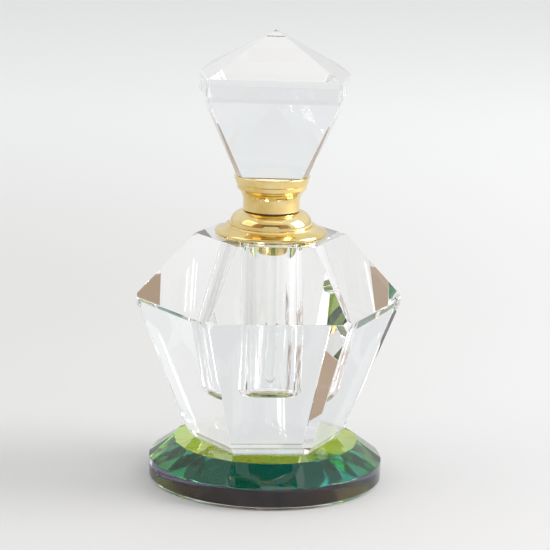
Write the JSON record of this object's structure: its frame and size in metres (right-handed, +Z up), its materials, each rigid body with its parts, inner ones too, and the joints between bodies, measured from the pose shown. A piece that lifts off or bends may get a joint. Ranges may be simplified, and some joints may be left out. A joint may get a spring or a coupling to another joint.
{
  "type": "perfume bottle",
  "caption": "Cut-crystal perfume bottle: faceted body with a round well, colour-shifting round base, polished gold-tone collar, and a faceted stopper with a glass dabber rod that lifts out.",
  "frame": {"origin": "centre of the underside of the base, on the surface it stands on", "axes": "+Z up along the bottle's axis to the finial's tip; -Y is the front, towards which a body facet and the finial's wide face look; +X to the viewer's right"},
  "size_m": [0.063, 0.0582, 0.1086],
  "materials": {
    "clear_crystal": "polished cut crystal",
    "base_crystal": "polished cut crystal, green and teal from the coating below it",
    "dichroic_coating": "thin vacuum-deposited colour-shifting film",
    "gold_metal": "polished gold plate",
    "plug_plastic": "natural polyethylene",
    "seal_silicone": "translucent silicone",
    "rod_glass": "drawn and fire-polished glass rod",
    "clear_adhesive": "clear cured adhesive"
  },
  "bodies": {
    "bottle": {"base_coating": "dichroic_coating", "base_plate": "base_crystal", "base_bond": "clear_adhesive", "bottle_body": "clear_crystal", "collar_bond": "clear_adhesive", "neck_collar": "gold_metal"},
    "seal": {"sealing_ring": "seal_silicone"},
    "stopper": {"stopper_plug": "plug_plastic", "cap_shell": "gold_metal", "dabber_rod": "rod_glass", "finial_bond": "clear_adhesive", "finial": "clear_crystal"}
  },
  "joints": [
    {"name": "stopper_lift", "type": "slide", "parent": "bottle", "child": "seal", "axis": [0, 0, 1], "range_m": [0, 0.042]},
    {"name": "stopper_turn", "type": "hinge", "parent": "seal", "child": "stopper", "pos_m": [0, 0, 0.066], "axis": [0, 0, 1], "continuous": true}
  ]
}
